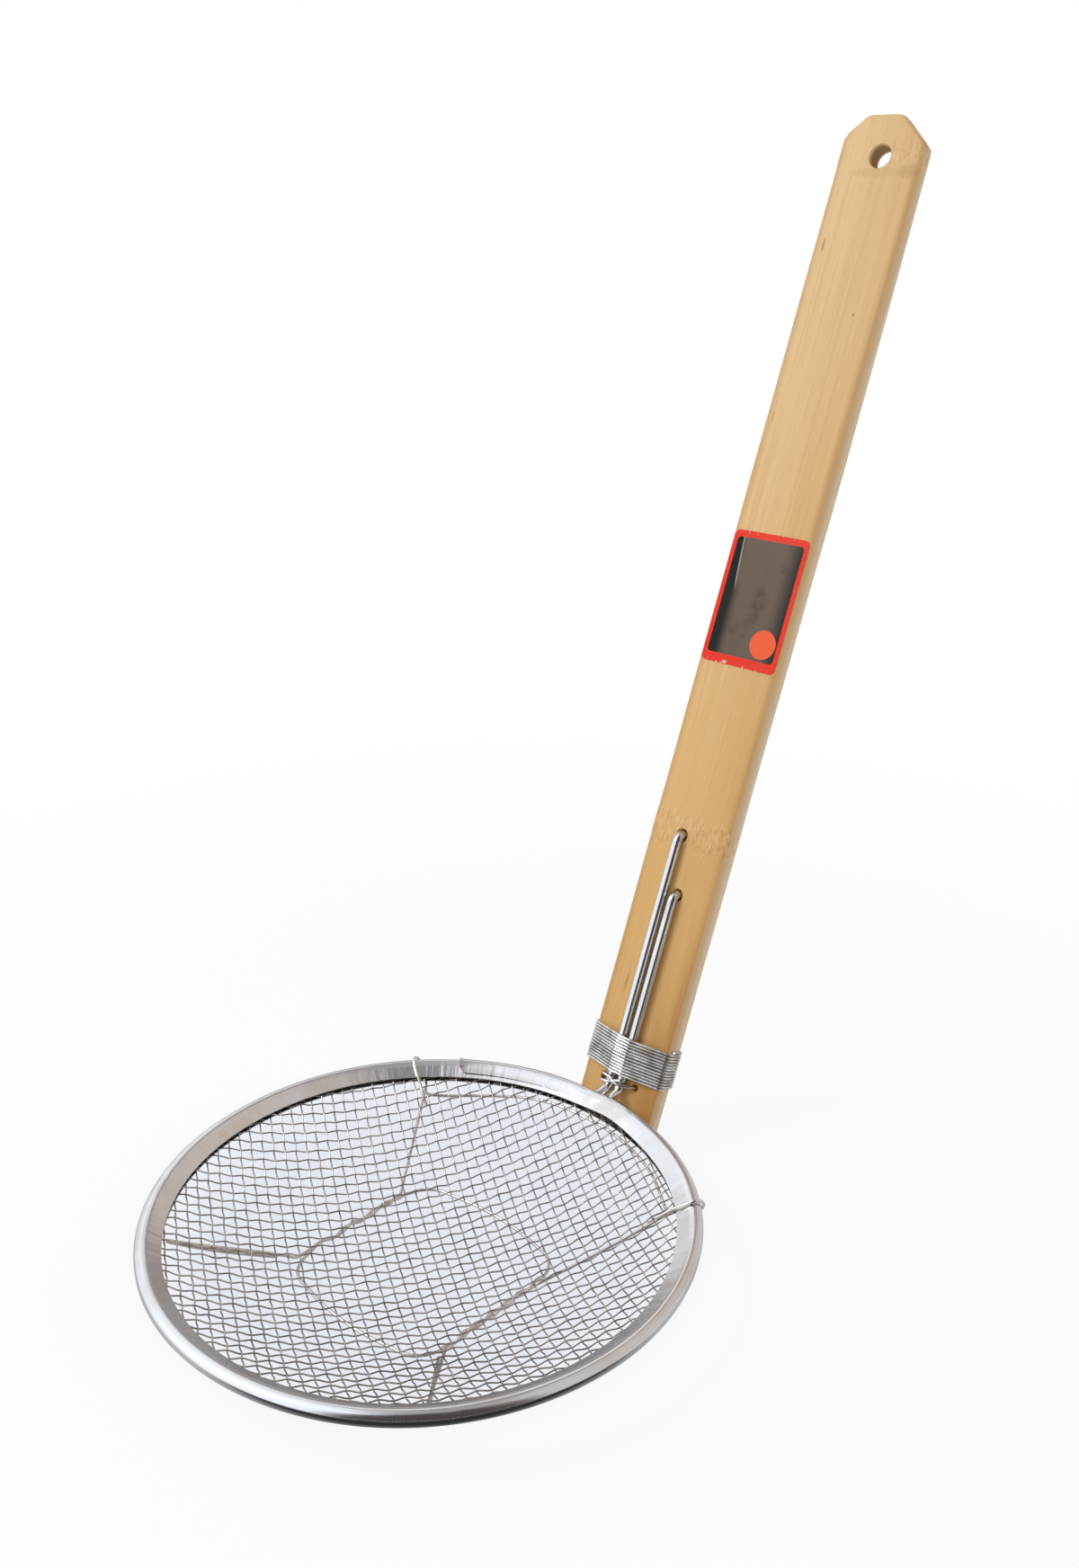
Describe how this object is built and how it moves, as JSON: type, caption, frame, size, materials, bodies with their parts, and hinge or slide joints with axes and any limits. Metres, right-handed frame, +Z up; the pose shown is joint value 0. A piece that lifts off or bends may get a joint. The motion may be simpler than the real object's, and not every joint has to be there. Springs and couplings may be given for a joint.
{
  "type": "noodle strainer",
  "caption": "Shallow woven-wire noodle strainer: a round mesh bowl folded into a steel rim, hung by a bent hoop wire on a long flat bamboo handle bound with wire.",
  "frame": {"origin": "bottom centre of the object's box, on the surface that the base ring stands on", "axes": "+Z up along the bowl's axis, +X from the bowl towards the handle, +Y across the handle"},
  "size_m": [0.329, 0.18, 0.3501],
  "materials": {
    "bamboo": "smooth planed bamboo, satin",
    "rim_steel": "satin stainless sheet",
    "wire_steel": "bright drawn stainless wire",
    "mesh_steel": "drawn stainless wire, woven",
    "label_paper": "semi-gloss printed paper"
  },
  "bodies": {
    "root": {"bamboo_handle": "bamboo", "binding_wire": "wire_steel", "neck_tie_wire": "wire_steel", "label": "label_paper", "hoop_wire": "wire_steel", "rim_band": "rim_steel", "mesh_bowl": "mesh_steel", "base_ring": "wire_steel", "rib_wire_left": "wire_steel", "rib_wire_right": "wire_steel", "stay_wire": "wire_steel"}
  },
  "joints": []
}
